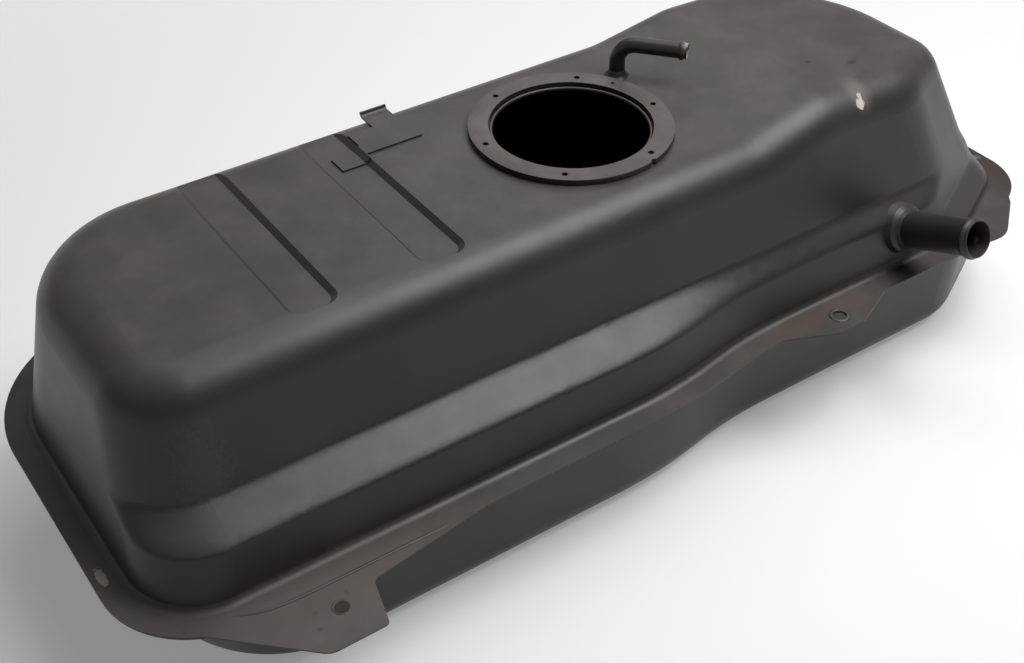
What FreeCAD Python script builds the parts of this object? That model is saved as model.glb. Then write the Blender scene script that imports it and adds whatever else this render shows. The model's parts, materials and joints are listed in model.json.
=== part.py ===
import FreeCAD, Part
import math
import os
import Sketcher
from FreeCAD import Placement, Rotation, Vector

# Steel fuel tank of a car, in millimetres.
# Two pressed halves meet at a flange seam. A threaded ring for the sender unit is welded
# on the top, a filler neck leaves the front right corner and a vent pipe stands by the ring.
# Origin: centre of the ring's top face. X runs along the tank, Y to its back, Z up.

doc = FreeCAD.newDocument("FuelTank")
sheet = doc.addObject("Spreadsheet::Sheet", "Sizes")

# Driving dimensions, one named value for each size that can be set by itself.
SIZES = [
    ("wall", 1.2),
    ("seat_gap", 0.2),
    ("tool_deep", 20.0),
    # Levels, measured from the top face of the ring.
    ("ring_thick", 5.0),
    ("flange_level", 140.0),
    ("depth_below", 102.0),
    ("hump_rise", 14.0),
    ("hump_fall", 8.0),
    ("hump_foot", 104.0),
    ("hump_run", 74.0),
    ("hump_bend", 70.0),
    # Plan of the walls where they meet the flange.
    ("left_reach", 439.0),
    ("right_reach", 405.0),
    ("front_margin", 89.5),
    ("back_margin", 64.5),
    ("jog_step", 17.0),
    ("jog_start", -70.0),
    ("jog_end", 110.0),
    ("diag_cut", 40.0),
    ("diag_angle", 27.0),
    ("corner_front_left", 52.0),
    ("corner_front_diag", 70.0),
    ("corner_diag_right", 35.0),
    ("corner_back_right", 125.0),
    ("corner_back_left", 100.0),
    ("corner_lower_left", 110.0),
    # Drafts of the walls.
    ("front_draft", 14.0),
    ("left_draft", 9.5),
    ("back_draft", 12.0),
    ("right_draft", 26.0),
    ("diag_draft", 21.0),
    ("lower_draft", 2.0),
    ("lower_left_draft", 18.0),
    # Shelf by the filler neck and ledge along the front: height above the flange, width.
    ("shelf_low", 6.0),
    ("shelf_high", 26.0),
    ("shelf_diag", 11.0),
    ("shelf_right", 2.0),
    ("ledge_low", 36.0),
    ("ledge_high", 56.0),
    ("ledge_front", 28.0),
    ("ledge_right", 5.0),
    # Rounds of the pressed halves.
    ("shoulder_round", 35.0),
    ("floor_round", 25.0),
    ("foot_round", 6.0),
    # Flange seam and its ears.
    ("flange_width", 20.0),
    ("ear_hole", 10.5),
    ("ear_left_in", 105.0),
    ("ear_left_out", 42.0),
    ("ear_left_edge", 29.0),
    ("ear_right_x", 143.0),
    ("ear_right_out", 23.0),
    ("ear_right_edge", 16.0),
    # Pressed recesses across the top and beads in the floor.
    ("swage_depth", 4.0),
    ("swage_left_x", -270.0),
    ("swage_right_x", -169.0),
    ("swage_width", 38.0),
    ("swage_front_in", 82.0),
    ("swage_corner", 12.0),
    ("bead_depth", 5.0),
    ("bead_width", 30.0),
    ("bead_length", 190.0),
    ("bead_pitch", 190.0),
    ("bead_count", 4.0),
    # Sender ring.
    ("ring_outer", 161.0),
    ("ring_band", 16.0),
    ("ring_edge", 8.0),
    ("lip_inset", 2.5),
    ("ring_hole", 5.0),
    ("ring_count", 6.0),
    ("ring_turn_angle", -10.0),
    ("pad_margin", 3.0),
    # Filler neck.
    ("neck_outer", 31.0),
    ("neck_wall", 1.5),
    ("neck_level", 111.0),
    ("neck_base_in", 165.0),
    ("neck_base_set", 9.0),
    ("neck_side_angle", -87.0),
    ("neck_rise_angle", 22.0),
    ("neck_out", 78.0),
    ("neck_in", 16.0),
    ("neck_bead", 1.6),
    ("neck_bead_back", 6.0),
    ("boss_margin", 3.0),
    ("boss_flare", 2.5),
    ("boss_out", 6.0),
    # Vent pipe.
    ("vent_outer", 13.0),
    ("vent_wall", 1.0),
    ("vent_margin", 14.5),
    ("vent_place_angle", 30.34),
    ("vent_height", 29.0),
    ("vent_bend", 15.0),
    ("vent_leg", 57.0),
    ("vent_side_angle", -49.0),
    ("vent_in", 8.0),
    ("vent_bead", 1.1),
    ("vent_bead_back", 4.0),
    # Line bracket on the right swage.
    ("clip_thick", 1.5),
    ("clip_left", -174.0),
    ("clip_right", -101.0),
    ("clip_front_in", 94.0),
    ("clip_back_in", 57.0),
    ("clip_notch", 6.0),
    ("clip_step", 18.0),
    ("tongue_left", -127.0),
    ("tongue_width", 23.0),
    ("tongue_back_in", 38.0),
    ("tongue_curl", 3.0),
    # Inside the tank.
    ("baffle_thick", 1.0),
    ("baffle_left_x", -270.0),
    ("baffle_right_x", 205.0),
    ("baffle_foot", 14.0),
    ("baffle_hole", 52.0),
    ("baffle_pitch", 82.0),
    ("baffle_gutter", 18.0),
    ("pot_outer", 116.0),
    ("pot_wall", 1.0),
    ("pot_tall", 62.0),
]

for row, (alias, value) in enumerate(SIZES, start=1):
    sheet.set("A%d" % row, alias)
    sheet.set("B%d" % row, "%g" % value)
    sheet.setAlias("B%d" % row, alias)
doc.recompute()


def size(alias):
    return float(sheet.get(alias))


# Levels of the pressed halves.
Z_TOP = -size("ring_thick")
Z_FLANGE = -size("flange_level")
Z_SEAM = Z_FLANGE - size("wall")
Z_LOWER = Z_SEAM - size("wall")
Z_FLOOR = Z_LOWER - size("depth_below")
CURVE_LEVELS = 5
PAD_DEEP = 12.0

# Plan reaches that follow from the ring, so that it always keeps its flat.
FRONT_REACH = size("ring_outer") / 2 + size("front_margin")
BACK_REACH = size("ring_outer") / 2 + size("back_margin")
JOG_REACH = FRONT_REACH - size("jog_step")


SIDE_HEADINGS = {"left": -90, "front": 0, "jog": 0, "diag": size("diag_angle"), "right": 90,
                 "back": 180}


def ease(share):
    """Smooth step from 0 to 1."""
    share = min(max(share, 0.0), 1.0)
    return share * share * (3 - 2 * share)


def rise_share(rise, name):
    """Share of the shelf or ledge that a wall has passed at a height above the flange."""
    low = size(name + "_low")
    high = size(name + "_high")
    return ease((rise - low) / (high - low))


def meet(point_a, along_a, point_b, along_b):
    """Point where two lines in plan cross."""
    cross = along_a.x * along_b.y - along_a.y * along_b.x
    gap = point_b - point_a
    return point_a + along_a * ((gap.x * along_b.y - gap.y * along_b.x) / cross)


def heading(degrees):
    """Unit vector in plan."""
    turn = math.radians(degrees)
    return Vector(math.cos(turn), math.sin(turn), 0)


def lift(degrees, rise):
    """Unit vector with a heading in plan and a rise above the plan."""
    turn = math.radians(rise)
    return heading(degrees) * math.cos(turn) + Vector(0, 0, math.sin(turn))


NECK_ALONG = lift(size("neck_side_angle"), size("neck_rise_angle"))
VENT_PLACE = (heading(size("vent_place_angle")) * (size("ring_outer") / 2 + size("vent_margin"))
              + Vector(0, 0, Z_TOP))
NECK_BASE = Vector(size("right_reach") - size("neck_base_in"),
                   size("neck_base_set") - JOG_REACH, -size("neck_level"))
EAR_LEFT = Vector(size("ear_left_in") - size("left_reach"), -FRONT_REACH - size("ear_left_out"), 0)
EAR_RIGHT = Vector(size("ear_right_x"), -JOG_REACH - size("ear_right_out"), 0)


def plan_sides(reach, shrink):
    """Side lines of the plan, each a point and a direction, with the tank on their left."""
    sides = []
    for name in ("left", "front", "jog", "diag", "right", "back"):
        along = heading(SIDE_HEADINGS[name])
        outward = Vector(along.y, -along.x, 0)
        sides.append((outward * (reach[name] - shrink), along))
    return sides


def arc_poles(corner, along_a, along_b, radius):
    """Poles of a cubic that follows the arc rounding a corner."""
    turn = along_a.getAngle(along_b)
    reach = radius * math.tan(turn / 2)
    pull = radius * math.tan(turn / 4) * 4 / 3
    start = corner - along_a * reach
    end = corner + along_b * reach
    return [start, start + along_a * pull, end - along_b * pull, end]


def outline_pieces(z, reach, shrink):
    """Plan outline at a level as a list of Bezier pieces, each a list of poles."""
    sides = plan_sides(reach, shrink)
    rounds = []
    for a, b, name in ((0, 1, "front_left"), (2, 3, "front_diag"), (3, 4, "diag_right"),
                       (4, 5, "back_right"), (5, 0, "back_left")):
        corner = meet(*sides[a], *sides[b])
        radius = reach.get("corner_" + name, size("corner_" + name))
        rounds.append(arc_poles(corner, sides[a][1], sides[b][1], radius - shrink))
    jog_start = Vector(size("jog_start"), sides[1][0].y, 0)
    jog_end = Vector(size("jog_end"), sides[2][0].y, 0)
    pull = Vector((jog_end.x - jog_start.x) / 2, 0, 0)
    pieces = [
        rounds[0],
        [rounds[0][-1], jog_start],
        [jog_start, jog_start + pull, jog_end - pull, jog_end],
        [jog_end, rounds[1][0]],
    ]
    for arc, following in zip(rounds[1:], rounds[2:] + rounds[:1]):
        pieces.append(arc)
        pieces.append([arc[-1], following[0]])
    return [[Vector(pole.x, pole.y, z) for pole in poles] for poles in pieces]


def outline(z, reach, shrink):
    """Closed plan outline at a level: straight sides, rounded corners, a soft jog."""
    edges = []
    for poles in outline_pieces(z, reach, shrink):
        curve = Part.BezierCurve()
        curve.setPoles(poles)
        edges.append(curve.toShape())
    return Part.Wire(edges)


def wall_face(levels):
    """Face through the same outline piece at each level, flat where it can be."""
    first = levels[0]
    last = levels[-1]
    bulge = max(poles[end].distanceToLine(first[end], last[end] - first[end])
                for poles in levels for end in (0, -1))
    if len(first) == 2 and bulge < 0.001:
        return Part.Face(Part.makePolygon([first[0], first[1], last[1], last[0], first[0]]))
    heights = [poles[0].z - first[0].z for poles in levels]
    columns = []
    for points in zip(*levels):
        curve = Part.BSplineCurve()
        curve.interpolate(Points=list(points), Parameters=heights)
        columns.append(curve)
    count = len(columns)
    surface = Part.BSplineSurface()
    surface.buildFromPolesMultsKnots(
        [column.getPoles() for column in columns], [count, count],
        columns[0].getMultiplicities(), [0.0, 1.0], columns[0].getKnots(), False, False,
        count - 1, columns[0].Degree)
    return surface.toShape()


def walled_solid(bands, shrink):
    """Solid from bands of walls, each a list of levels with their reach, lowest first."""
    faces = []
    for band in bands:
        stack = [outline_pieces(z, reach, shrink) for z, reach in band]
        faces += [wall_face(levels) for levels in zip(*stack)]
    for z, reach in (bands[0][0], bands[-1][-1]):
        faces.append(Part.Face(outline(z, reach, shrink)))
    shell = Part.Shell(faces)
    shell.sewShape()
    return Part.makeSolid(shell).removeSplitter()


def foot_reach():
    """How far each wall stands from the origin where it meets the flange."""
    turn = math.radians(size("diag_angle"))
    corner = size("right_reach") * math.sin(turn) + JOG_REACH * math.cos(turn)
    return {"left": size("left_reach"), "front": FRONT_REACH, "jog": JOG_REACH,
            "diag": corner - size("diag_cut"), "right": size("right_reach"), "back": BACK_REACH}


def upper_reach(rise):
    """Reach of the upper walls at a height above the flange."""
    shelf = rise_share(rise, "shelf")
    ledge = rise_share(rise, "ledge")
    steps = {
        "front": size("ledge_front") * ledge,
        "jog": (size("ledge_front") - size("jog_step")) * ledge,
        "diag": size("shelf_diag") * shelf,
        "right": size("shelf_right") * shelf + size("ledge_right") * ledge,
    }
    reach = {}
    for name, foot in foot_reach().items():
        draft = size("front_draft" if name == "jog" else name + "_draft")
        reach[name] = foot - rise * math.tan(math.radians(draft)) - steps.get(name, 0.0)
    return reach


def lower_reach(drop):
    """Reach of the lower walls at a depth below the flange."""
    reach = {}
    for name, foot in foot_reach().items():
        draft = size("lower_left_draft" if name == "left" else "lower_draft")
        reach[name] = foot - drop * math.tan(math.radians(draft))
    grown = size("corner_lower_left") - size("corner_front_left")
    reach["corner_front_left"] = size("corner_front_left") + grown * drop / size("depth_below")
    return reach


def roof_solid(shrink):
    """Solid below the roof line: flat, then a ramp up to the hump, then a slow fall."""
    z_low = Z_TOP - shrink
    z_high = z_low + size("hump_rise")
    near = -size("left_reach") - size("flange_width")
    far = size("right_reach") + size("flange_width")
    foot = size("hump_foot")
    head = foot + size("hump_run")
    below = Z_FLANGE - 2 * size("shoulder_round")
    reach = 2 * FRONT_REACH
    points = [Vector(near, -reach, z_low), Vector(foot, -reach, z_low),
              Vector(head, -reach, z_high), Vector(far, -reach, z_high - size("hump_fall")),
              Vector(far, -reach, below), Vector(near, -reach, below)]
    solid = Part.Face(Part.makePolygon(points + points[:1])).extrude(Vector(0, 2 * reach, 0))
    bends = [edge for edge in solid.Edges if edge.Length > 1.9 * reach
             and any(edge.valueAt(edge.FirstParameter).distanceToLine(point, Vector(0, 1, 0)) < 0.01
                     for point in points[1:3])]
    return solid.makeFillet(size("hump_bend"), bends)


def leans(face, limit):
    """True where the middle of a face looks up or down by more than the limit."""
    u_low, u_high, v_low, v_high = face.ParameterRange
    return abs(face.normalAt((u_low + u_high) / 2, (v_low + v_high) / 2).z) > limit


def rim_edges(solid, z_low, z_high):
    """Edges between a roof or floor face and a wall face, within a range of levels."""
    found = []
    for edge in solid.Edges:
        box = edge.BoundBox
        if box.ZMin < z_low or box.ZMax > z_high:
            continue
        faces = solid.ancestorsOfType(edge, Part.Face)
        if len(faces) == 2 and leans(faces[0], 0.8) != leans(faces[1], 0.8):
            found.append(edge)
    return found


def edges_on(solid, wire):
    """Edges of a solid that lie along a wire."""
    return [edge for edge in solid.Edges
            if wire.distToShape(Part.Vertex(edge.valueAt(
                (edge.FirstParameter + edge.LastParameter) / 2)))[0] < 0.02
            and abs(edge.BoundBox.ZMax - wire.BoundBox.ZMax) < 0.02
            and abs(edge.BoundBox.ZMin - wire.BoundBox.ZMax) < 0.02]


def as_solid(shape):
    """The one solid of a boolean result."""
    return shape.Solids[0] if shape.ShapeType == "Compound" else shape


def rounded_face(corners, z):
    """Plate outline in plan from corners given as x, y and radius."""
    points = [Vector(x, y, z) for x, y, _ in corners]
    edges = []
    stops = []
    for number, (_, _, radius) in enumerate(corners):
        before = (points[number - 1] - points[number]).normalize()
        after = (points[(number + 1) % len(points)] - points[number]).normalize()
        half = before.getAngle(after) / 2
        reach = radius / math.tan(half)
        centre = points[number] + (before + after).normalize() * (radius / math.sin(half))
        start = points[number] + before * reach
        end = points[number] + after * reach
        middle = centre + (points[number] - centre).normalize() * radius
        stops.append((start, end))
        edges.append(Part.Arc(start, middle, end).toShape())
    for number, (_, end) in enumerate(stops):
        edges.append(Part.makeLine(end, stops[(number + 1) % len(stops)][0]))
    return Part.Face(Part.Wire(Part.__sortEdges__(edges)))


def slot_wire(x, y_front, y_back, width, corner, z):
    """Rectangle with rounded corners, its middle line at x."""
    half = width / 2
    radius = min(corner, 0.45 * width)
    return rounded_face([(x - half, y_front, radius), (x + half, y_front, radius),
                         (x + half, y_back, radius), (x - half, y_back, radius)], z).OuterWire


def slot_tool(x, y_front, y_back, width, corner, z_open, z_end):
    """Recess with 45 degree walls, from its open side to its flat end."""
    taper = abs(z_end - z_open)
    wide = slot_wire(x, y_front, y_back, width, corner, z_open)
    narrow = slot_wire(x, y_front + taper, y_back - taper, width - 2 * taper,
                       corner - taper / 2, z_end)
    return Part.makeLoft([wide, narrow], True, True)


def swage_tools(shrink):
    """The two recesses across the top, grown by shrink for the inner face."""
    grow = shrink * math.sqrt(2)
    front = size("swage_front_in") - FRONT_REACH
    return [slot_tool(size(name), front - grow, BACK_REACH + size("flange_width"),
                      size("swage_width") + 2 * grow, size("swage_corner") + grow,
                      Z_TOP, Z_TOP - size("swage_depth") - shrink)
            for name in ("swage_left_x", "swage_right_x")]


def round_pads(shrink):
    """Flat pad below the ring and flat boss round the filler neck."""
    pad = Part.makeCylinder(size("ring_outer") / 2 + size("pad_margin") - shrink, PAD_DEEP,
                            Vector(0, 0, Z_TOP - shrink - PAD_DEEP))
    narrow = size("neck_outer") / 2 + size("boss_margin") - shrink
    start = NECK_BASE - NECK_ALONG * (size("boss_out") + shrink)
    boss = Part.makeCone(narrow + 2 * size("boss_flare"), narrow, 2 * size("boss_out"), start,
                         NECK_ALONG)
    return pad, boss


def pressed_upper(shrink, slab):
    """Upper half as a solid above its flange slab, moved in by shrink on every side."""
    z_foot = Z_FLANGE - shrink
    tallest = size("flange_level") + size("hump_rise")
    bands = []
    for low, high, curved in ((0, size("shelf_low"), False),
                              (size("shelf_low"), size("shelf_high"), True),
                              (size("shelf_high"), size("ledge_low"), False),
                              (size("ledge_low"), size("ledge_high"), True),
                              (size("ledge_high"), tallest + size("tool_deep"), False)):
        count = CURVE_LEVELS if curved else 1
        rises = [low + (high - low) * number / count for number in range(count + 1)]
        bands.append([(z_foot + rise, upper_reach(rise)) for rise in rises])
    walls = walled_solid(bands, shrink)
    body = as_solid(walls.common(roof_solid(shrink)))
    crown = rim_edges(body, z_foot + size("flange_level") / 2, z_foot + 2 * size("flange_level"))
    body = body.makeFillet(size("shoulder_round") - shrink, crown)
    pad, boss = round_pads(shrink)
    body = as_solid(body.fuse(pad).removeSplitter())
    body = as_solid(body.fuse(boss))
    for tool in swage_tools(shrink):
        body = as_solid(body.cut(tool))
    if slab is None:
        return body
    body = as_solid(body.fuse(slab))
    if shrink:
        return body
    foot = edges_on(body, outline(z_foot, foot_reach(), shrink))
    return body.makeFillet(size("foot_round"), foot)


def bead_tools(shrink):
    """Stiffening beads pressed up into the floor, grown by shrink for the inner face."""
    grow = shrink * math.sqrt(2)
    length = size("bead_length") / 2 + grow
    middle = (BACK_REACH - FRONT_REACH) / 2
    count = int(size("bead_count"))
    tools = []
    for number in range(count):
        x = (number - (count - 1) / 2) * size("bead_pitch")
        tools.append(slot_tool(x, middle - length, middle + length,
                               size("bead_width") + 2 * grow, size("swage_corner") + grow,
                               Z_FLOOR, Z_FLOOR + size("bead_depth") + shrink))
    return tools


def pressed_lower(shrink, slab):
    """Lower half as a solid below its flange slab, moved in by shrink on every side."""
    z_foot = Z_LOWER + shrink
    deep = size("depth_below")
    body = walled_solid([[(z_foot - drop, lower_reach(drop)) for drop in (deep, 0.0)]], shrink)
    keel = rim_edges(body, z_foot - deep - 1, z_foot - deep + 1)
    body = body.makeFillet(size("floor_round") - shrink, keel)
    for tool in bead_tools(shrink):
        body = as_solid(body.cut(tool))
    if slab is None:
        return body
    body = as_solid(body.fuse(slab))
    if shrink:
        return body
    foot = edges_on(body, outline(z_foot, foot_reach(), shrink))
    return body.makeFillet(size("foot_round"), foot)


def ear_faces(z):
    """Outlines of the three ears, reaching in under the flange."""
    width = size("flange_width")
    rim = -FRONT_REACH - width
    x, y, edge = EAR_LEFT.x, EAR_LEFT.y, size("ear_left_edge")
    left = rounded_face([
        (-size("left_reach") + width, rim + width, 2), (-size("left_reach") - 2, rim + 1.5 * width, 3),
        (x - 0.8 * edge, y - edge, 14), (x + 0.66 * edge, y - edge, 4),
        (x + edge, y + 0.3 * edge, 6), (x + 4.4 * edge, rim, 10),
        (x + 4.6 * edge, rim + width / 2, 2)], z)
    rim = -JOG_REACH - width
    x, y, edge = EAR_RIGHT.x, EAR_RIGHT.y, size("ear_right_edge")
    right = rounded_face([
        (x - 4.2 * edge, rim + width / 2, 2), (x - 3.9 * edge, rim + 1, 4),
        (x - edge, y - edge, 14), (x + 0.8 * edge, y - edge, 8),
        (x + 3.6 * edge, rim + 1, 12), (x + 4 * edge, rim + width / 2, 2)], z)
    x, y = size("right_reach"), -JOG_REACH
    corner = rounded_face([
        (x - 5.5 * width, y - width / 2, 2), (x - 5.2 * width, y - width, 4),
        (x - 3.1 * width, y - 1.2 * width, 28), (x - width, y + 0.4 * width, 34),
        (x + width, y + 2.9 * width, 14), (x + width, y + 4.5 * width, 2),
        (x, y + 4.5 * width, 2)], z)
    return [left, right, corner]


def flange_plate(z, ears):
    """Flange sheet, one wall thick, below a level."""
    face = Part.Face(outline(z, foot_reach(), -size("flange_width")))
    plate = face.extrude(Vector(0, 0, -size("wall")))
    for ear in ears:
        plate = as_solid(plate.fuse(ear.extrude(Vector(0, 0, -size("wall")))))
    return as_solid(plate.removeSplitter())


def open_slab(z_low, z_high):
    """Block wider than the flange, which opens a shell at its seam."""
    wide = size("left_reach") + size("right_reach")
    return Part.makeBox(2 * wide, 2 * wide, z_high - z_low, Vector(-wide, -wide, z_low))


def add_piece(name, shape):
    """A sub-part whose form is set by surfaces."""
    piece = doc.addObject("Part::Feature", name)
    piece.Label = name
    piece.Shape = shape
    piece.Placement = Placement()
    return piece


def make_upper_shell():
    wall = size("wall")
    outer = pressed_upper(0, flange_plate(Z_FLANGE, ear_faces(Z_FLANGE)))
    inner = pressed_upper(wall, open_slab(Z_SEAM - size("tool_deep"), Z_SEAM))
    shell = as_solid(outer.cut(inner))
    holes = [
        Part.makeCylinder(size("ring_outer") / 2 - size("ring_band") - size("lip_inset"),
                          2 * size("tool_deep"), Vector(0, 0, Z_TOP - size("tool_deep"))),
        Part.makeCylinder(size("neck_outer") / 2 + size("seat_gap"), 2 * size("neck_in"),
                          NECK_BASE - NECK_ALONG * size("neck_in"), NECK_ALONG),
        Part.makeCylinder(size("vent_outer") / 2 + size("seat_gap"), 2 * size("tool_deep"),
                          VENT_PLACE - Vector(0, 0, size("tool_deep"))),
    ]
    for ear in (EAR_LEFT, EAR_RIGHT):
        holes.append(Part.makeCylinder(size("ear_hole") / 2, 2 * size("tool_deep"),
                                       ear + Vector(0, 0, Z_FLANGE - size("tool_deep"))))
    for hole in holes:
        shell = as_solid(shell.cut(hole))
    return add_piece("upper_shell", shell)


def make_lower_shell():
    outer = pressed_lower(0, flange_plate(Z_SEAM, []))
    inner = pressed_lower(size("wall"), open_slab(Z_LOWER + size("wall"),
                                                  Z_LOWER + size("tool_deep")))
    return add_piece("lower_shell", as_solid(outer.cut(inner)))


def new_body(name):
    body = doc.addObject("PartDesign::Body", name)
    body.Label = name
    return body


def new_sketch(body, name, role):
    """Sketch on one of the body's own origin planes."""
    plane = [item for item in body.Origin.OriginFeatures if item.Role == role][0]
    sketch = body.newObject("Sketcher::SketchObject", name)
    sketch.AttachmentSupport = [(plane, "")]
    sketch.MapMode = "FlatFace"
    return sketch


def bind(sketch, expression, *constraint):
    """Dimension in a sketch that follows the sheet."""
    number = sketch.addConstraint(Sketcher.Constraint(*constraint))
    sketch.setExpression("Constraints[%d]" % number, expression)


def add_circle(sketch, diameter):
    """Circle about the sketch origin whose diameter is an expression."""
    number = sketch.addGeometry(Part.Circle(Vector(), Vector(0, 0, 1), 10 + sketch.GeometryCount))
    sketch.addConstraint(Sketcher.Constraint("Coincident", number, 3, -1, 1))
    bind(sketch, diameter, "Diameter", number, 10 + 2 * number)


def add_pad(body, name, sketch, length):
    pad = body.newObject("PartDesign::Pad", name)
    pad.Profile = sketch
    pad.setExpression("Length", length)
    return pad


def add_bead(body, name, plane, tube, wide, along, high):
    """Hose bead: a short ring of a wider size round a tube, across one plane's axis."""
    sketch = new_sketch(body, name + "Section", plane)
    sketch.setExpression("AttachmentOffset.Base.z", along)
    sketch.setExpression("AttachmentOffset.Base.y", high)
    add_circle(sketch, "%s + 2 * %s" % (tube, wide))
    add_circle(sketch, "%s - %s / 2" % (tube, wide))
    return add_pad(body, name, sketch, "2 * " + wide)


def make_sender_ring():
    body = new_body("sender_ring")
    face = new_sketch(body, "RingFace", "XY_Plane")
    add_circle(face, "Sizes.ring_outer")
    add_circle(face, "Sizes.ring_outer - 2 * Sizes.ring_band")
    add_pad(body, "RingPad", face, "Sizes.ring_thick").Reversed = True
    doc.recompute()
    hole = new_sketch(body, "ScrewHole", "XY_Plane")
    number = hole.addGeometry(Part.Circle(Vector(size("ring_outer") / 2, 0, 0), Vector(0, 0, 1),
                                          size("ring_hole") / 2))
    hole.addConstraint(Sketcher.Constraint("PointOnObject", number, 3, -1))
    bind(hole, "Sizes.ring_outer / 2 - Sizes.ring_edge", "DistanceX", -1, 1, number, 3,
         size("ring_outer") / 2)
    bind(hole, "Sizes.ring_hole", "Diameter", number, 4)
    pocket = body.newObject("PartDesign::Pocket", "ScrewPocket")
    pocket.Profile = hole
    pocket.Type = "ThroughAll"
    pattern = body.newObject("PartDesign::PolarPattern", "ScrewPattern")
    pattern.Originals = [pocket]
    pattern.Axis = (hole, ["N_Axis"])
    pattern.Angle = 360
    pattern.setExpression("Occurrences", "Sizes.ring_count")
    body.Tip = pattern
    body.Placement = Placement(Vector(), Rotation(Vector(0, 0, 1), size("ring_turn_angle")))
    return body


def make_filler_neck():
    body = new_body("filler_neck")
    ring = new_sketch(body, "NeckSection", "XY_Plane")
    add_circle(ring, "Sizes.neck_outer")
    add_circle(ring, "Sizes.neck_outer - 2 * Sizes.neck_wall")
    add_pad(body, "NeckTube", ring, "Sizes.neck_out + Sizes.neck_in")
    add_bead(body, "NeckBead", "XY_Plane", "Sizes.neck_outer", "Sizes.neck_bead",
             "Sizes.neck_out + Sizes.neck_in - Sizes.neck_bead_back", "0 mm")
    body.Placement = Placement(NECK_BASE - NECK_ALONG * size("neck_in"),
                               Rotation(Vector(0, 0, 1), NECK_ALONG))
    return body


def make_vent_pipe():
    body = new_body("vent_pipe")
    ring = new_sketch(body, "VentSection", "XY_Plane")
    add_circle(ring, "Sizes.vent_outer")
    add_circle(ring, "Sizes.vent_outer - 2 * Sizes.vent_wall")
    path = new_sketch(body, "VentPath", "XZ_Plane")
    tall = size("vent_in") + size("vent_height")
    bend = size("vent_bend")
    leg = size("vent_leg")
    path.addGeometry(Part.LineSegment(Vector(0, 0, 0), Vector(0, tall - bend, 0)))
    path.addGeometry(Part.ArcOfCircle(Part.Circle(Vector(bend, tall - bend, 0), Vector(0, 0, 1), bend),
                                      math.pi / 2, math.pi))
    path.addGeometry(Part.LineSegment(Vector(bend, tall, 0), Vector(leg, tall, 0)))
    for constraint in (("Coincident", 0, 1, -1, 1), ("Vertical", 0), ("Tangent", 0, 2, 1, 2),
                       ("Tangent", 1, 1, 2, 1), ("Horizontal", 2)):
        path.addConstraint(Sketcher.Constraint(*constraint))
    bind(path, "Sizes.vent_bend", "Radius", 1, bend)
    bind(path, "Sizes.vent_in + Sizes.vent_height", "DistanceY", -1, 1, 2, 2, tall)
    bind(path, "Sizes.vent_leg", "DistanceX", -1, 1, 2, 2, leg)
    doc.recompute()
    pipe = body.newObject("PartDesign::AdditivePipe", "VentTube")
    pipe.Profile = ring
    pipe.Spine = (path, ["Edge1", "Edge2", "Edge3"])
    doc.recompute()
    add_bead(body, "VentBead", "YZ_Plane", "Sizes.vent_outer", "Sizes.vent_bead",
             "Sizes.vent_leg - Sizes.vent_bead_back", "Sizes.vent_in + Sizes.vent_height")
    body.Placement = Placement(VENT_PLACE - Vector(0, 0, size("vent_in")),
                               Rotation(Vector(0, 0, 1), size("vent_side_angle")))
    return body


def make_line_bracket():
    """Thin plate that steps out of the recess, with a curled tongue past the back edge."""
    thick = size("clip_thick")
    front = BACK_REACH - size("clip_front_in")
    far = BACK_REACH - size("clip_back_in")
    edge = size("swage_right_x") + size("swage_width") / 2
    low = Z_TOP - size("swage_depth")
    rise = size("swage_depth")
    lean = thick * (math.sqrt(2) - 1)
    section = [
        (size("clip_left"), low), (edge - rise, low), (edge, Z_TOP), (size("clip_right"), Z_TOP),
        (size("clip_right"), Z_TOP + thick), (edge - lean, Z_TOP + thick),
        (edge - rise - lean, low + thick), (size("clip_left"), low + thick)]
    wire = Part.makePolygon([Vector(x, front, z) for x, z in section + section[:1]])
    plate = Part.Face(wire).extrude(Vector(0, far - front, 0))
    deep = size("tool_deep")
    notch = Part.makeBox(size("clip_right") - edge, size("clip_notch"), 2 * deep,
                         Vector(edge, front, Z_TOP - deep))
    corner = Part.makeBox(edge + lean - size("clip_left"), size("clip_step"), 2 * deep,
                          Vector(size("clip_left"), far - size("clip_step"), Z_TOP - deep))
    plate = as_solid(plate.cut(notch).cut(corner))
    curl = size("tongue_curl")
    back = BACK_REACH - size("tongue_back_in") - curl
    left = size("tongue_left")
    centre = Vector(left, back, Z_TOP + thick + curl)
    half_turn = Vector(0, math.sqrt(0.5), -math.sqrt(0.5))
    outer_r = curl + thick
    inner = Part.Arc(centre - Vector(0, 0, curl), centre + half_turn * curl,
                     centre + Vector(0, curl, 0)).toShape()
    outer = Part.Arc(centre - Vector(0, 0, outer_r), centre + half_turn * outer_r,
                     centre + Vector(0, outer_r, 0)).toShape()
    base = far - 2 * thick
    path = Part.Wire(Part.__sortEdges__([
        Part.makeLine(Vector(left, base, Z_TOP), centre + Vector(0, 0, -outer_r)), outer,
        Part.makeLine(centre + Vector(0, outer_r, 0), centre + Vector(0, curl, 0)), inner,
        Part.makeLine(centre + Vector(0, 0, -curl), Vector(left, base, Z_TOP + thick)),
        Part.makeLine(Vector(left, base, Z_TOP + thick), Vector(left, base, Z_TOP))]))
    tongue = Part.Face(path).extrude(Vector(size("tongue_width"), 0, 0))
    return add_piece("line_bracket", as_solid(plate.fuse(tongue).removeSplitter()))


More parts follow.
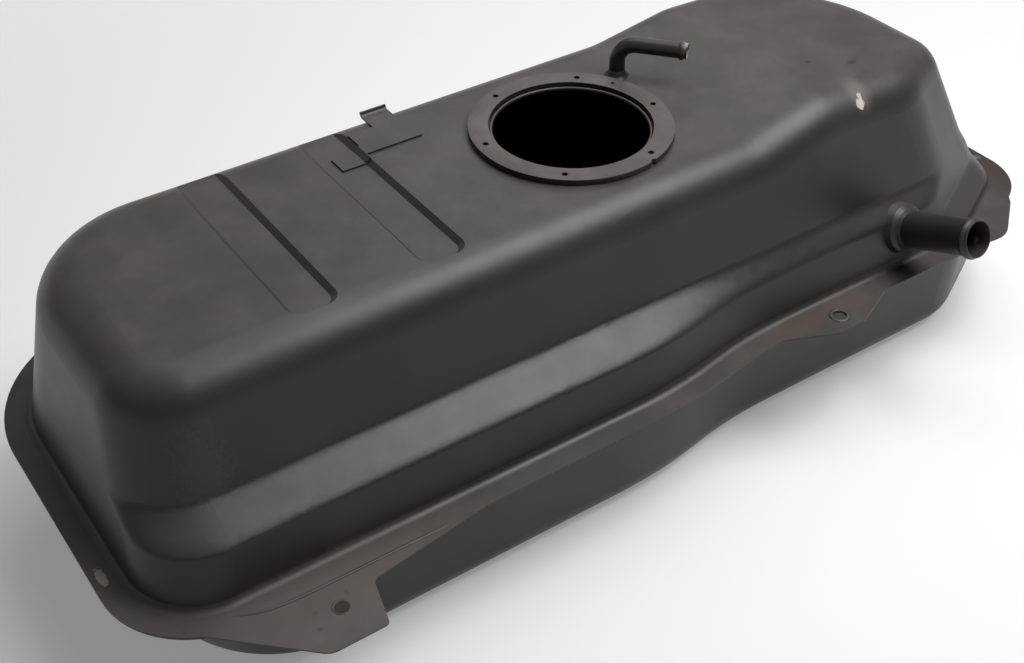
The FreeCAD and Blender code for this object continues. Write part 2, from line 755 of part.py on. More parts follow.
def make_baffle(name, cavity):
    """Cross wall cut to the inside of the tank, with flow holes and a foot on the floor."""
    x = size(name + "_x")
    thick = size("baffle_thick")
    middle = (BACK_REACH - FRONT_REACH) / 2
    wide = 2 * (FRONT_REACH + BACK_REACH)
    slice_box = Part.makeBox(thick, wide, wide, Vector(x, -wide / 2, -wide / 2))
    plate = as_solid(cavity.common(slice_box))
    foot_box = Part.makeBox(size("baffle_foot"), wide, thick,
                            Vector(x, -wide / 2, Z_FLOOR + size("wall") + size("seat_gap")))
    foot = as_solid(cavity.common(foot_box))
    baffle = as_solid(plate.fuse(foot).removeSplitter())
    for number in (-1, 0, 1):
        baffle = as_solid(baffle.cut(Part.makeCylinder(
            size("baffle_hole") / 2, 4 * size("baffle_foot"),
            Vector(x - 2 * size("baffle_foot"), middle + number * size("baffle_pitch"),
                   Z_FLANGE + size("baffle_gutter")), Vector(1, 0, 0))))
    for y in (-FRONT_REACH, BACK_REACH):
        baffle = as_solid(baffle.cut(Part.makeCylinder(
            2 * size("baffle_gutter"), 4 * size("baffle_foot"),
            Vector(x - 2 * size("baffle_foot"), y, Z_FLOOR), Vector(1, 0, 0))))
    return add_piece(name, baffle)


def make_surge_pot():
    body = new_body("surge_pot")
    base = new_sketch(body, "PotBase", "XY_Plane")
    add_circle(base, "Sizes.pot_outer")
    add_pad(body, "PotFloor", base, "Sizes.pot_wall")
    wall = new_sketch(body, "PotRim", "XY_Plane")
    add_circle(wall, "Sizes.pot_outer")
    add_circle(wall, "Sizes.pot_outer - 2 * Sizes.pot_wall")
    add_pad(body, "PotWall", wall, "Sizes.pot_tall")
    body.Placement = Placement(
        Vector(0, 0, Z_FLOOR + size("wall") + size("seat_gap")), Rotation())
    return body


cavity_upper = pressed_upper(size("wall") + size("seat_gap"), None)
cavity_lower = pressed_lower(size("wall") + size("seat_gap"), None)
cavity = as_solid(cavity_upper.fuse(cavity_lower))

pieces = [
    make_upper_shell(),
    make_lower_shell(),
    make_sender_ring(),
    make_filler_neck(),
    make_vent_pipe(),
    make_line_bracket(),
    make_baffle("baffle_left", cavity),
    make_baffle("baffle_right", cavity),
    make_surge_pot(),
]
doc.recompute()

for item in doc.Objects:
    if "Invalid" in item.State or "Error" in item.State:
        raise RuntimeError("failed: " + item.Label)
os.makedirs("parts", exist_ok=True)
for piece in pieces:
    if piece.Shape.isNull() or not piece.Shape.isValid():
        raise RuntimeError("bad shape: " + piece.Label)
for piece in pieces:
    piece.Shape.exportStep("parts/%s.step" % piece.Label)
    print(piece.Label, len(piece.Shape.Solids), round(piece.Shape.Volume / 1000, 1), "cm3")
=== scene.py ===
# %% [markdown]
# # A car fuel tank
# The tank is pressed from two sheets of steel and painted satin black. The solids come
# from the CAD model, so the work here is light, paint, welds and wear.

# %% Load the fixed frame
import json
import math

import bpy
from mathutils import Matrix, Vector


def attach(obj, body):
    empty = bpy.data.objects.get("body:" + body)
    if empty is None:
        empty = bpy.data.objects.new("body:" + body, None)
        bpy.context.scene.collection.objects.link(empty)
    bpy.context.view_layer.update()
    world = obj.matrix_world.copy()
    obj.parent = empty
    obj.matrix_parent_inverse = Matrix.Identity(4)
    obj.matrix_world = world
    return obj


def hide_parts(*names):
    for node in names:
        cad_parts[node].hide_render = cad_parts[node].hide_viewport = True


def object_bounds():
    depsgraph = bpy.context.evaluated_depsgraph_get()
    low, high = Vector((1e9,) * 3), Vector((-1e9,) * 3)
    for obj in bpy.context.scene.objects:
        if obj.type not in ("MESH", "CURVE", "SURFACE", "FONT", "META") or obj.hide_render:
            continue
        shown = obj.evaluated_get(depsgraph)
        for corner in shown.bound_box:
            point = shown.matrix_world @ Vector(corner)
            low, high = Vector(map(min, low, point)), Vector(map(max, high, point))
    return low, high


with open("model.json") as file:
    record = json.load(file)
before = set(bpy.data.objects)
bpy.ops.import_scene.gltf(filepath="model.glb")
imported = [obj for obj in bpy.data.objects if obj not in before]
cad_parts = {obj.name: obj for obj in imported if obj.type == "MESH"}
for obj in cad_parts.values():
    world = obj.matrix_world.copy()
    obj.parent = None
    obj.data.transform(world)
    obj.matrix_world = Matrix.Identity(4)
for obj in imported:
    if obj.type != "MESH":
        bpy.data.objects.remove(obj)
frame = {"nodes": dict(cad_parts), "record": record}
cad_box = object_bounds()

MM = 0.001

print("CAD nodes:", sorted(frame["nodes"]))


# %% [markdown]
# The photograph was taken from above the front left corner. The lens and the place of the
# camera were worked out from the round ring, which is an ellipse in the picture.

# %% Camera
CAMERA_PLACE = Vector((-0.5804, -0.7640, 0.5738))
CAMERA_LENS = 50.0
CAMERA_SENSOR = 36.0
CAMERA_DOWN = math.radians(39.24)
CAMERA_TURN = math.radians(-34.48)

camera_data = bpy.data.cameras.new("camera")
camera_data.lens = CAMERA_LENS
camera_data.sensor_width = CAMERA_SENSOR
camera = bpy.data.objects.new("camera", camera_data)
bpy.context.scene.collection.objects.link(camera)
camera.location = CAMERA_PLACE
camera.rotation_euler = (math.pi / 2 - CAMERA_DOWN, 0, CAMERA_TURN)
bpy.context.scene.camera = camera
print("camera looks along", camera.rotation_euler.to_matrix() @ Vector((0, 0, -1)))


# %% [markdown]
# A small class lets shader maths be written as Python expressions. Numbers and sockets mix
# freely, and any other node comes from one method.

# %% Sockets that can be added and multiplied
class Wire:
    """A shader socket or a number, with the operators that the materials use."""

    def __init__(self, tree, socket):
        self.tree = tree
        self.socket = socket

    def math(self, operation, *others):
        node = self.tree.nodes.new("ShaderNodeMath")
        node.operation = operation
        for place, value in enumerate((self, *others)):
            plug(self.tree, value, node.inputs[place])
        return Wire(self.tree, node.outputs[0])

    def __add__(self, other):
        return self.math("ADD", other)

    def __radd__(self, other):
        return self.math("ADD", other)

    def __mul__(self, other):
        return self.math("MULTIPLY", other)

    def __rmul__(self, other):
        return self.math("MULTIPLY", other)

    def __sub__(self, other):
        return self.math("SUBTRACT", other)

    def __rsub__(self, other):
        return Wire(self.tree, constant(self.tree, other)).math("SUBTRACT", self)


def constant(tree, number):
    """A socket that gives one number."""
    node = tree.nodes.new("ShaderNodeValue")
    node.outputs[0].default_value = number
    return node.outputs[0]


def plug(tree, value, socket):
    """Puts a number, a colour or a wire into a socket."""
    if isinstance(value, Wire):
        tree.links.new(value.socket, socket)
    else:
        socket.default_value = value


def add_node(tree, kind, settings=None, sockets=None, output=0):
    """Adds a node, sets it up, feeds its sockets and returns one output as a wire."""
    node = tree.nodes.new(kind)
    for name, value in (settings or {}).items():
        setattr(node, name, value)
    for name, value in (sockets or {}).items():
        plug(tree, value, node.inputs[name])
    return Wire(tree, node.outputs[output])


def new_material(name):
    """An empty node material with its shader and its Object coordinates."""
    material = bpy.data.materials.new(name)
    material.use_nodes = True
    tree = material.node_tree
    shader = tree.nodes["Principled BSDF"]
    place = add_node(tree, "ShaderNodeTexCoord", output=3)
    return material, tree, shader, place


# %% Ramps and mixes
def ramp(wire, low, high):
    """Zero below low, one above high, and a smooth rise between."""
    return add_node(wire.tree, "ShaderNodeMapRange", {"interpolation_type": "SMOOTHSTEP"},
                    {"Value": wire, "From Min": low, "From Max": high}, output="Result")


def mix_colour(tree, share, first, second):
    """Goes from the first colour to the second as share goes from 0 to 1.

    A Mix node has sockets of one name for each kind of data, so they go by number."""
    return add_node(tree, "ShaderNodeMix", {"data_type": "RGBA"},
                    {0: share, 6: first, 7: second}, output=2)


# %% [markdown]
# The studio has a wide pale floor and a pale world. Near the tank the lamps alone make the
# floor pale, so it keeps the tank's shadow. Further out the lamps grow weak, and the floor
# has light of its own there, for the camera and for reflections only.

# %% Floor and world
def sight(tree):
    """One for rays that the camera sees, straight or by a mirror or glass, else zero."""
    rays = tree.nodes.new("ShaderNodeLightPath")
    seen = Wire(tree, rays.outputs["Is Camera Ray"])
    seen = seen.math("MAXIMUM", Wire(tree, rays.outputs["Is Glossy Ray"]))
    return seen.math("MAXIMUM", Wire(tree, rays.outputs["Is Transmission Ray"]))


FLOOR_SIZE = 40.0
FLOOR_GREY = 0.80
GLOW_NEAR = 0.24
GLOW_FAR = 1.0
GLOW_START = 0.5
GLOW_END = 2.6
BLACK = (0, 0, 0, 1)
WHITE = (1, 1, 1, 1)
WORLD_SEEN = 0.40
WORLD_FILL = 0.04

floor_height = cad_box[0][2]
bpy.ops.mesh.primitive_plane_add(size=FLOOR_SIZE, location=(0, 0, floor_height))
floor = bpy.context.object
floor.name = "floor"

pale, pale_tree, pale_shader, pale_place = new_material("pale_floor")
pale_shader.inputs["Base Color"].default_value = (FLOOR_GREY, FLOOR_GREY, FLOOR_GREY, 1)
pale_shader.inputs["Roughness"].default_value = 1.0
pale_shader.inputs["Specular IOR Level"].default_value = 0.0
far_out = ramp(add_node(pale_tree, "ShaderNodeVectorMath", {"operation": "LENGTH"},
                        {"Vector": pale_place}, output=1), GLOW_START, GLOW_END)
glow = GLOW_NEAR + far_out * (GLOW_FAR - GLOW_NEAR)
plug(pale_tree, mix_colour(pale_tree, sight(pale_tree) * glow, BLACK, WHITE),
     pale_shader.inputs["Emission Color"])
pale_shader.inputs["Emission Strength"].default_value = 1.0
floor.data.materials.append(pale)

world = bpy.data.worlds.new("studio")
world.use_nodes = True
bpy.context.scene.world = world
world_tree = world.node_tree
world_back = world_tree.nodes["Background"]
world_back.inputs["Color"].default_value = WHITE
plug(world_tree, sight(world_tree) * (WORLD_SEEN - WORLD_FILL) + WORLD_FILL,
     world_back.inputs["Strength"])
bpy.context.scene.view_settings.view_transform = "Standard"
print("floor at", floor_height)


# %% [markdown]
# The photograph has its bright bands along the front shoulder and the front ledge, and its
# dark side at the left end. A mirror on such a band shows where the light comes from: high
# up on the right and a little to the front. Four weaker lamps fill in round that one.

# %% Lamps
LAMP_SIZE = 0.8
LAMP_FAR = 1.6
LAMP_AIM = Vector((0, 0, -0.1))


def soft_lamp(name, turn, rise, power):
    """A square area lamp on a dome round the tank, which faces the tank's middle."""
    data = bpy.data.lights.new(name, "AREA")
    data.shape = "SQUARE"
    data.size = LAMP_SIZE
    data.energy = power
    lamp = bpy.data.objects.new(name, data)
    bpy.context.scene.collection.objects.link(lamp)
    turn, rise = math.radians(turn), math.radians(rise)
    way = Vector((math.cos(rise) * math.cos(turn), math.cos(rise) * math.sin(turn),
                  math.sin(rise)))
    lamp.location = way * LAMP_FAR + LAMP_AIM
    lamp.rotation_euler = way.to_track_quat("Z", "Y").to_euler()
    print("lamp", name, "gives", power, "W")


LAMPS = [("key", 330, 60, 15.5), ("top", 0, 75, 5.0), ("front", 300, 60, 4.5),
         ("back", 53, 40, 1.8), ("back_top", 80, 65, 3.5)]
for row in LAMPS:
    soft_lamp(*row)


# %% [markdown]
# The paint is a thin satin coat on pressed steel. The real one is not one flat colour: it
# has clouds of dust, fine specks, wiped smudges and a slight orange peel. Noise at several
# scales gives these, on Object coordinates, so that they stay put on the steel.
# Upward faces are also painted paler, partly as dust and partly as painted light that makes the
# tops brighter than the walls.

# %% Satin paint
def noise(tree, place, scale, detail=2.0, rough=0.5):
    """Cloud values about 0.5, with a size in patches per metre."""
    return add_node(tree, "ShaderNodeTexNoise", {},
                    {"Vector": place, "Scale": scale, "Detail": detail, "Roughness": rough})


PAINT_DARK = (0.0175, 0.0162, 0.0155, 1)
PAINT_LIGHT = (0.029, 0.0268, 0.0257, 1)
# Pale dust, which also serves as painted light on upward faces.
DUST_AND_TOP_LIGHT = (0.165, 0.150, 0.143, 1)
BARE = (0.62, 0.56, 0.48, 1)
RUST = (0.115, 0.050, 0.030, 1)
# Near black, for dark pits and for painted shade on the dents and the right ear.
DARK_PITS_AND_SHADE = (0.010, 0.009, 0.009, 1)
PAINT_GLOSS = 0.38
PAINT_ROUGH = 0.33

# Patches per metre of each noise.
CLOUD_SCALE = 7.0
SPECK_SCALE = 900.0
FILM_SCALE = 18.0
SHEEN_SCALE = 30.0
PEEL_SCALE = 420.0
WAVE_SCALE = 9.0

# Heights of the orange peel and of the slow waves in the sheet, in millimetres.
PEEL_HEIGHT = 0.018
WAVE_HEIGHT = 0.35


def spot(tree, place, centre, radii, edge=0.35, ragged=0.0, grain=300.0):
    """One inside an ellipsoid given in millimetres, zero outside, with a ragged edge."""
    shifted = add_node(tree, "ShaderNodeVectorMath", {"operation": "SUBTRACT"}, {
        0: place, 1: tuple(value * MM for value in centre)})
    scaled = add_node(tree, "ShaderNodeVectorMath", {"operation": "MULTIPLY"}, {
        0: shifted, 1: tuple(1 / (value * MM) for value in radii)})
    far = add_node(tree, "ShaderNodeVectorMath", {"operation": "LENGTH"}, {0: scaled}, output=1)
    if ragged:
        far = far + (noise(tree, place, grain, 3.0, 0.6) - 0.5) * ragged
    return 1 - ramp(far, 1 - edge, 1 + edge)


def satin_paint(name, top_dust_and_light, marks=()):
    """The paint of one piece, with dust and painted top light on its upward faces, and marks
    where it is hurt or where shade is painted.

    A mark is (colour, strength, roughness, spot settings)."""
    material, tree, shader, place = new_material(name)
    clouds = noise(tree, place, CLOUD_SCALE, 3.0)
    specks = noise(tree, place, SPECK_SCALE, 2.0)
    colour = mix_colour(tree, ramp(clouds, 0.3, 0.7), PAINT_DARK, PAINT_LIGHT)
    upward = ramp(add_node(tree, "ShaderNodeSeparateXYZ", {}, {"Vector": add_node(
        tree, "ShaderNodeTexCoord", output=1)}, output=2), 0.55, 1.0)
    patches = ramp(noise(tree, place, FILM_SCALE, 5.0, 0.65), 0.3, 0.75)
    # Upward faces turn paler: partly dust, partly painted top light.
    dust_and_top_light = upward * top_dust_and_light * (patches * 0.6 + 0.4)
    dust_and_top_light = dust_and_top_light + ramp(specks, 0.66, 0.72) * (0.10 * upward + 0.04)
    colour = mix_colour(tree, dust_and_top_light, colour, DUST_AND_TOP_LIGHT)
    rough = noise(tree, place, SHEEN_SCALE, 4.0) * 0.12 + PAINT_ROUGH + dust_and_top_light * 0.1
    for shade, strength, roughness, settings in marks:
        mask = spot(tree, place, **settings) * strength
        colour = mix_colour(tree, mask, colour, shade)
        rough = rough * (1 - mask) + mask * roughness
    plug(tree, colour, shader.inputs["Base Color"])
    plug(tree, rough, shader.inputs["Roughness"])
    shader.inputs["Specular IOR Level"].default_value = PAINT_GLOSS
    peel = noise(tree, place, PEEL_SCALE, 1.0)
    waves = noise(tree, place, WAVE_SCALE, 1.0)
    bump = add_node(tree, "ShaderNodeBump", {}, {
        "Strength": 1.0, "Distance": MM, "Height": peel * PEEL_HEIGHT + waves * WAVE_HEIGHT})
    plug(tree, bump, shader.inputs["Normal"])
    return material


def dress(node, material):
    """Gives a CAD node one material in all its slots."""
    for slot in frame["nodes"][node].material_slots:
        slot.material = material
    print(node, "wears", material.name)


# %% [markdown]
# This tank has been handled. It has a chip down to bare steel on the raised corner with a
# pale rub above it, scratches on the left flange and on the right corner, two small dents
# that are only painted shade, rust tints on the three ears and a few dark pits by the left
# bolt hole. Dust lies on the left ear, and the right corner has painted shade where the body
# shadows it. Each mark is an ellipsoid in millimetres, mostly with a ragged edge.

# %% Marks of use and painted shade
SHELL_MARKS = [
    (DUST_AND_TOP_LIGHT, 0.55, 0.55, {"centre": (214, -95, 2), "radii": (9, 15, 12), "edge": 0.6,
                        "ragged": 0.8, "grain": 120.0}),
    (BARE, 0.95, 0.55, {"centre": (210.5, -102.5, -3), "radii": (4.0, 3.6, 6.5), "edge": 0.12,
                        "ragged": 1.6, "grain": 420.0}),
    (BARE, 0.80, 0.55, {"centre": (213, -98, 0.5), "radii": (2.2, 2.6, 4.0), "edge": 0.15,
                        "ragged": 1.6, "grain": 520.0}),
    # The two dents have no shape of their own: these dark spots are painted shade.
    (DARK_PITS_AND_SHADE, 0.65, 0.50, {"centre": (209, -42.6, 8), "radii": (3.2, 2.2, 3), "ragged": 0.7}),
    (DARK_PITS_AND_SHADE, 0.75, 0.50, {"centre": (240, -61.7, 7), "radii": (4.0, 2.6, 3), "ragged": 0.7}),
    (BARE, 0.60, 0.60, {"centre": (-451.5, -101, -140), "radii": (3.0, 8.5, 3), "edge": 0.2,
                        "ragged": 1.5, "grain": 380.0}),
    (BARE, 0.45, 0.60, {"centre": (418, -77, -140), "radii": (3.0, 3.4, 3), "edge": 0.2,
                        "ragged": 1.2}),
    (RUST, 0.45, 0.65, {"centre": (413, -95, -140), "radii": (14, 26, 6), "edge": 0.7,
                        "ragged": 1.0, "grain": 110.0}),
    (RUST, 0.32, 0.65, {"centre": (120, -168, -140), "radii": (60, 10, 5), "edge": 0.7,
                        "ragged": 1.2, "grain": 90.0}),
    (RUST, 0.22, 0.60, {"centre": (-300, -195, -140), "radii": (70, 26, 6), "edge": 0.8,
                        "ragged": 1.0, "grain": 60.0}),
    (DARK_PITS_AND_SHADE, 0.80, 0.60, {"centre": (-350, -207, -140), "radii": (2.0, 1.6, 2), "ragged": 0.6}),
    (DARK_PITS_AND_SHADE, 0.80, 0.60, {"centre": (-354, -220, -140), "radii": (2.2, 1.6, 2), "ragged": 0.6}),
    (DARK_PITS_AND_SHADE, 0.70, 0.60, {"centre": (-325, -203, -140), "radii": (1.2, 3.0, 2), "ragged": 0.6}),
    (DUST_AND_TOP_LIGHT, 0.10, 0.50, {"centre": (-378, -124, -62), "radii": (16, 20, 26), "edge": 0.5,
                        "ragged": 3.0, "grain": 420.0}),
    (DUST_AND_TOP_LIGHT, 0.30, 0.50, {"centre": (-330, -205, -140), "radii": (95, 42, 6), "edge": 0.6,
                        "ragged": 0.8, "grain": 40.0}),
    # Painted shade: the right ear and corner are darkened where the body shadows them.
    (DARK_PITS_AND_SHADE, 0.55, 0.50, {"centre": (420, -60, -140), "radii": (36, 90, 8), "edge": 0.6}),
]

dress("upper_shell", satin_paint("upper_paint", 0.34, SHELL_MARKS))
dress("lower_shell", satin_paint("lower_paint", 0.20))
dress("line_bracket", satin_paint("bracket_paint", 0.34))


# %% [markdown]
# Inside, the baffles and the surge pot are tinned steel sheet. It is grey and dull, with the
# fine lines of the rolling mill and brown stains where fuel stood.

# %% Tinned steel inside
TIN_DARK = (0.25, 0.245, 0.235, 1)
TIN_LIGHT = (0.42, 0.41, 0.39, 1)
STAIN = (0.16, 0.105, 0.06, 1)
MILL_LINES = (900.0, 900.0, 14.0)
STAIN_SCALE = 16.0
LINE_HEIGHT = 0.1 * MM


def tinned_steel(name):
    """Rolled sheet with mill lines and fuel stains."""
    material, tree, shader, place = new_material(name)
    lines = noise(tree, add_node(tree, "ShaderNodeMapping", {}, {
        "Vector": place, "Scale": MILL_LINES}), 1.0, 2.0)
    colour = mix_colour(tree, lines, TIN_DARK, TIN_LIGHT)
    stains = ramp(noise(tree, place, STAIN_SCALE, 5.0, 0.6), 0.5, 0.72)
    colour = mix_colour(tree, stains * 0.7, colour, STAIN)
    plug(tree, colour, shader.inputs["Base Color"])
    plug(tree, lines * 0.15 + 0.35 + stains * 0.2, shader.inputs["Roughness"])
    shader.inputs["Metallic"].default_value = 0.8
    bump = add_node(tree, "ShaderNodeBump", {}, {"Distance": LINE_HEIGHT, "Height": lines})
    plug(tree, bump, shader.inputs["Normal"])
    return material


tin = tinned_steel("tinned_steel")
for node in ("baffle_left", "baffle_right", "surge_pot"):
    dress(node, tin)


# %% [markdown]
# The ring that takes the level sender is a turned disc with six tapped holes, one locating
# hole and a small notch in its edge. It could be one boolean in the CAD model, but here the
# edges also need a small bevel that catches the light, so it is made again from a cylinder.

# %% Helpers for pieces
JOIN_GAP = 0.01 * MM
HOLE_SIDES = 48
TOOL_DEEP = 30 * MM
SHARP_TURN = 35
SOFT_TURN = 60


def only(piece):
    """Deselects everything else and makes one piece active."""
    bpy.ops.object.select_all(action="DESELECT")
    piece.select_set(True)
    bpy.context.view_layer.objects.active = piece


def settle(piece):
    """Puts a piece's place and turn into its mesh."""
    only(piece)
    bpy.ops.object.transform_apply(location=True, rotation=True, scale=True)


def bake_modifiers(piece):
    """Makes a piece's modifiers part of its mesh."""
    only(piece)
    for modifier in list(piece.modifiers):
        bpy.ops.object.modifier_apply(modifier=modifier.name)


def bore(piece, radius, x, y):
    """Cuts an upright round hole through a piece."""
    bpy.ops.object.select_all(action="DESELECT")
    bpy.ops.mesh.primitive_cylinder_add(vertices=HOLE_SIDES, radius=radius, depth=TOOL_DEEP,
                                        location=(x, y, 0))
    tool = bpy.context.object
    cut = piece.modifiers.new("bore", "BOOLEAN")
    cut.object = tool
    cut.solver = "EXACT"
    bake_modifiers(piece)
    bpy.data.objects.remove(tool)


def finish_piece(piece, material, slot, *nodes, angle=SHARP_TURN):
    """Smooths and paints a finished piece and fixes it to the tank's body.

    Edges that turn by more than the angle, in degrees, stay sharp."""
    settle(piece)
    bpy.ops.object.shade_smooth_by_angle(angle=math.radians(angle))
    piece.data.materials.clear()
    piece.data.materials.append(material)
    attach(piece, "root")
    if nodes:
        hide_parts(*nodes)
    print(piece.name, len(piece.data.polygons), "faces")


def mount(name):
    """Place and direction of one of the record's mounts."""
    row = next(row for row in frame["record"]["mounts"] if row["name"] == name)
    return Vector(row["pos_m"]), Vector(row["axis"])


# %% The sender ring
RING_OUTER = 80.5 * MM
RING_BORE = 64.5 * MM
RING_THICK = 5.0 * MM
SCREW_PITCH = 72.5 * MM
SCREW_HOLE = 2.4 * MM
SCREW_TURNS = range(-10, 350, 60)
RING_SIDES = 192
EDGE_ROUND = 0.5 * MM
EDGE_TURN = 50

# Radius, turn in degrees and distance from the middle.
LOCATING_HOLE = (1.6 * MM, 26, SCREW_PITCH)
EDGE_NOTCH = (2.6 * MM, -76, RING_OUTER + 0.6 * MM)

bpy.ops.object.select_all(action="DESELECT")
bpy.ops.mesh.primitive_cylinder_add(vertices=RING_SIDES, radius=RING_OUTER, depth=RING_THICK,
                                    location=(0, 0, -RING_THICK / 2))
ring = bpy.context.object
ring.name = "level_ring"
settle(ring)
bore(ring, RING_BORE, 0, 0)
screws = [(SCREW_HOLE, turn, SCREW_PITCH) for turn in SCREW_TURNS]
for radius, turn, far in screws + [LOCATING_HOLE, EDGE_NOTCH]:
    bore(ring, radius, far * math.cos(math.radians(turn)), far * math.sin(math.radians(turn)))
bevel = ring.modifiers.new("soft_edge", "BEVEL")
bevel.width = EDGE_ROUND
bevel.segments = 3
bevel.limit_method = "ANGLE"
bevel.angle_limit = math.radians(EDGE_TURN)
bake_modifiers(ring)
finish_piece(ring, satin_paint("ring_top_paint", 0.62), "ring_paint", "sender_ring")


# %% [markdown]
# Round parts such as the filler neck could be spun from a profile. Here a circle is extruded
# upwards ring by ring and each new ring is resized, which is the way a modeller works by
# hand, and the same helper then makes the neck, the weld collars and the rolled lip.

# %% Turned pieces
def lathe(name, rings, sides=72):
    """A closed round piece about Z from rings of (radius, height) in millimetres."""
    rings = [(radius * MM, height * MM) for radius, height in rings]
    bpy.ops.object.select_all(action="DESELECT")
    bpy.ops.mesh.primitive_circle_add(vertices=sides, radius=rings[0][0],
                                      location=(0, 0, rings[0][1]))
    piece = bpy.context.object
    piece.name = name
    settle(piece)
    bpy.ops.object.mode_set(mode="EDIT")
    bpy.ops.mesh.select_all(action="SELECT")
    for (radius, height), (wide, high) in zip(rings, rings[1:] + rings[:1]):
        bpy.ops.mesh.extrude_region_move(TRANSFORM_OT_translate={"value": (0, 0, high - height)})
        bpy.ops.transform.resize(value=(wide / radius, wide / radius, 1),
                                 center_override=(0, 0, high))
    bpy.ops.mesh.select_all(action="SELECT")
    bpy.ops.mesh.remove_doubles(threshold=JOIN_GAP)
    bpy.ops.mesh.normals_make_consistent(inside=False)
    bpy.ops.object.mode_set(mode="OBJECT")
    return piece


def aim(piece, place, along):
    """Turns a piece from Z to a direction and moves it."""
    piece.rotation_mode = "QUATERNION"
    piece.rotation_quaternion = Vector((0, 0, 1)).rotation_difference(along)
    piece.location = place
    settle(piece)


# %% The filler neck
NECK_PROFILE = [
    (15.5, -94), (15.5, -8.4), (15.9, -7.6), (16.7, -6.7), (17.1, -5.6), (17.1, -4.6),
    (16.7, -3.6), (15.9, -2.8), (15.5, -2.2), (15.5, -0.7), (15.2, -0.15), (14.75, 0),
    (14.3, -0.15), (14.0, -0.7), (14.0, -94)]
neck_mouth, neck_along = mount("filler_mouth")
neck = lathe("neck_tube", NECK_PROFILE)
aim(neck, neck_mouth, neck_along)
neck_paint = satin_paint("neck_tube_paint", 0.12, [
    (BARE, 0.45, 0.45, {"centre": (243.8, -206, -92), "radii": (13, 6, 4), "edge": 0.3,
                        "ragged": 1.6, "grain": 260.0})])
finish_piece(neck, neck_paint, "neck_paint", "filler_neck")

COLLAR_PROFILE = [
    (20.2, -72.4), (19.6, -71.7), (18.3, -71.0), (17.2, -69.9), (16.4, -68.3), (15.8, -66.4),
    (15.3, -65.6), (15.0, -66.0), (15.0, -72.4)]
collar = lathe("neck_braze", COLLAR_PROFILE)
aim(collar, neck_mouth, neck_along)
finish_piece(collar, neck_paint, "neck_paint", angle=SOFT_TURN)


# %% [markdown]
# The vent pipe is a steel tube bent once through a right angle, with a bead that keeps the
# hose on. A curve with a round bevel would also do, but a circle that is extruded, spun
# round the bend and extruded again gives control of each ring of the bead.

# %% The vent pipe
VENT_RADIUS = 6.5 * MM
VENT_BEND = 15.0 * MM
VENT_HEIGHT = 29.0 * MM
VENT_LEG = 57.0 * MM
VENT_FOOT = 8.0 * MM
VENT_WALL = 1.0 * MM
VENT_SIDES = 40
BEND_STEPS = 16

# Distance along the leg and radius of each ring of the bead, in millimetres.
VENT_BEAD = [(49.6, 6.5), (50.4, 6.8), (51.4, 7.5), (52.4, 7.7), (53.4, 7.5), (54.4, 6.8),
             (55.0, 6.5), (56.6, 6.5), (57.0, 6.2)]

vent_mouth, vent_along = mount("vent_mouth")
vent_base = vent_mouth - vent_along * VENT_LEG - Vector((0, 0, VENT_HEIGHT))

bpy.ops.object.select_all(action="DESELECT")
bpy.ops.mesh.primitive_circle_add(vertices=VENT_SIDES, radius=VENT_RADIUS,
                                  location=(0, 0, -VENT_FOOT))
pipe = bpy.context.object
pipe.name = "vent_tube"
settle(pipe)
bpy.ops.object.mode_set(mode="EDIT")
bpy.ops.mesh.select_all(action="SELECT")
bpy.ops.mesh.extrude_region_move(
    TRANSFORM_OT_translate={"value": (0, 0, VENT_FOOT + VENT_HEIGHT - VENT_BEND)})
bpy.ops.mesh.spin(steps=BEND_STEPS, angle=math.radians(-90), axis=(0, 1, 0),
                  center=(VENT_BEND, 0, VENT_HEIGHT - VENT_BEND))
reach, wide = VENT_BEND, VENT_RADIUS
for far, radius in VENT_BEAD:
    bpy.ops.mesh.extrude_region_move(
        TRANSFORM_OT_translate={"value": (far * MM - reach, 0, 0)})
    grow = radius * MM / wide
    bpy.ops.transform.resize(value=(1, grow, grow), center_override=(far * MM, 0, VENT_HEIGHT))
    reach, wide = far * MM, radius * MM
bpy.ops.mesh.select_all(action="SELECT")
bpy.ops.mesh.remove_doubles(threshold=JOIN_GAP)
bpy.ops.mesh.normals_make_consistent(inside=False)
bpy.ops.object.mode_set(mode="OBJECT")
wall = pipe.modifiers.new("wall", "SOLIDIFY")
wall.thickness = VENT_WALL
wall.offset = -1
bake_modifiers(pipe)
pipe.location = vent_base
pipe.rotation_euler = (0, 0, math.atan2(vent_along.y, vent_along.x))
pipe_paint = satin_paint("vent_tube_paint", 0.15, [
    (RUST, 0.75, 0.60, {"centre": (112, 11, 18), "radii": (10, 10, 3.5), "edge": 0.4,
                        "ragged": 1.2, "grain": 260.0}),
    (BARE, 0.50, 0.45, {"centre": tuple(vent_mouth / MM), "radii": (5, 5, 9), "edge": 0.2,
                        "ragged": 1.2, "grain": 300.0})])
finish_piece(pipe, pipe_paint, "pipe_paint", "vent_pipe")

VENT_COLLAR = [(10.4, -0.4), (10.0, 0.2), (8.9, 0.8), (7.9, 1.9), (7.2, 3.4), (6.75, 5.2),
               (6.3, 5.4), (6.1, -0.4)]
vent_collar = lathe("vent_braze", VENT_COLLAR, HOLE_SIDES)
vent_collar.location = vent_base
finish_piece(vent_collar, pipe_paint, "pipe_paint", angle=SOFT_TURN)


# %% [markdown]
# The sheet's edge inside the ring is rolled over, so that it doesn't cut a seal, and it shows
# as a thin pale circle. The bolt hole in the front ear has a low raised rim, and the one in
# the left ear a smaller one. All three are turned pieces again, from the same helper.

# %% Rolled lip and ear rims
LIP_SIDES = 160
LIP_ROLL = [(63.9, -5.3), (63.9, -4.5), (63.4, -3.7), (62.6, -3.3), (61.8, -3.6), (61.3, -4.4),
            (61.3, -5.6), (61.7, -6.6), (62.4, -6.9)]
lip = lathe("lip_roll", LIP_ROLL, LIP_SIDES)
finish_piece(lip, satin_paint("lip_paint", 0.75), "upper_paint", angle=SOFT_TURN)

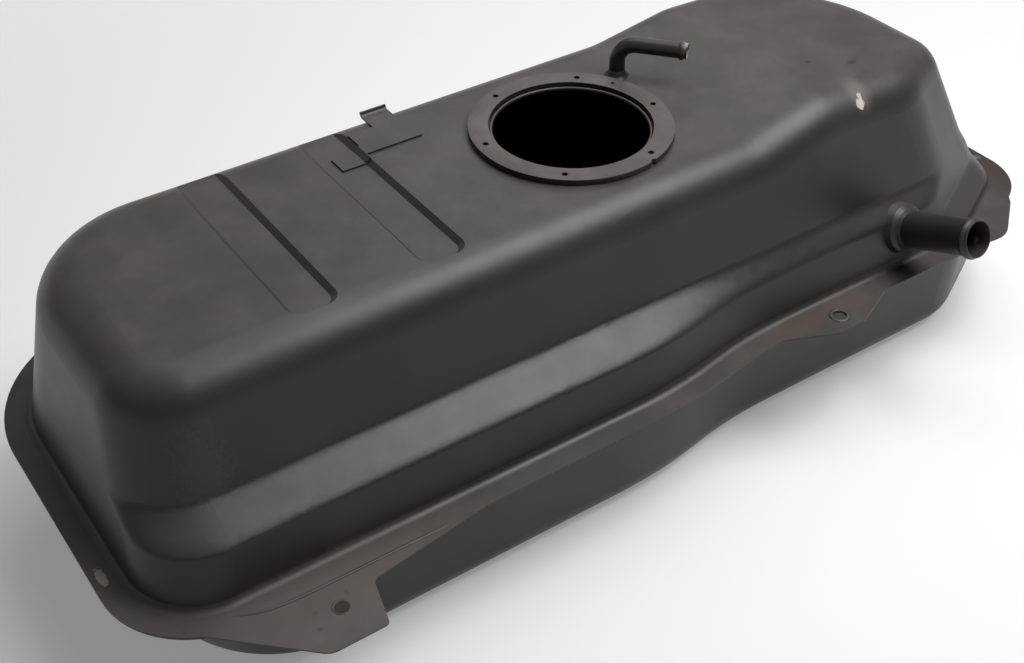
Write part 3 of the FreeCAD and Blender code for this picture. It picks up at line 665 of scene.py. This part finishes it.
# The mounts lie in the middle of the sheet, so a rim is lifted by half its thickness.
HALF_SHEET = 0.6 * MM
EAR_RIMS = {
    "left_ear": [(6.6, -0.2), (6.4, 0.15), (5.8, 0.3), (5.3, 0.15), (5.25, -0.2)],
    "right_ear": [(9.0, -0.2), (8.6, 0.35), (7.6, 0.9), (6.4, 1.1), (5.5, 0.9), (5.25, 0.3),
                  (5.25, -0.2)],
}
for ear, profile in EAR_RIMS.items():
    hole_place, _ = mount(ear + "_hole")
    rim = lathe(ear + "_rim", profile, HOLE_SIDES)
    rim.location = hole_place + Vector((0, 0, HALF_SHEET))
    finish_piece(rim, satin_paint(ear + "_hole_paint", 0.5), "upper_paint", angle=SOFT_TURN)


# %% [markdown]
# Where the left ear reaches out past the flange, the rolled seam still shows as a soft ridge
# in line with the flange's own edge. It is a curve with a round section that tapers at its
# ends and lies mostly in the sheet, made into a mesh at the end.

# %% Seam ridge on the left ear
RIDGE_ROUTE = [(-408, -171, 0.1), (-394, -180, 0.7), (-377, -187.5, 1.0), (-352, -190, 1.0),
               (-312, -190, 1.0), (-272, -190, 1.0), (-240, -190, 0.7), (-214, -190, 0.1)]
RIDGE_ROUND = 1.6 * MM
RIDGE_PROUD = 0.7 * MM
RIDGE_STEPS = 4
SHEET_TOP = -140.0 * MM

bpy.ops.object.select_all(action="DESELECT")
bpy.ops.curve.primitive_nurbs_path_add(location=(0, 0, 0))
ridge = bpy.context.object
ridge.name = "seam_ridge"
route = ridge.data.splines[0]
route.points.add(len(RIDGE_ROUTE) - len(route.points))
for point, (x, y, thick) in zip(route.points, RIDGE_ROUTE):
    point.co = (x * MM, y * MM, SHEET_TOP + RIDGE_PROUD - RIDGE_ROUND, 1)
    point.radius = thick
route.order_u = 3
route.use_endpoint_u = True
ridge.data.bevel_depth = RIDGE_ROUND
ridge.data.bevel_resolution = RIDGE_STEPS
ridge.data.use_fill_caps = True
bpy.ops.object.convert(target="MESH")
finish_piece(ridge, satin_paint("ridge_paint", 0.5), "upper_paint", angle=SOFT_TURN)
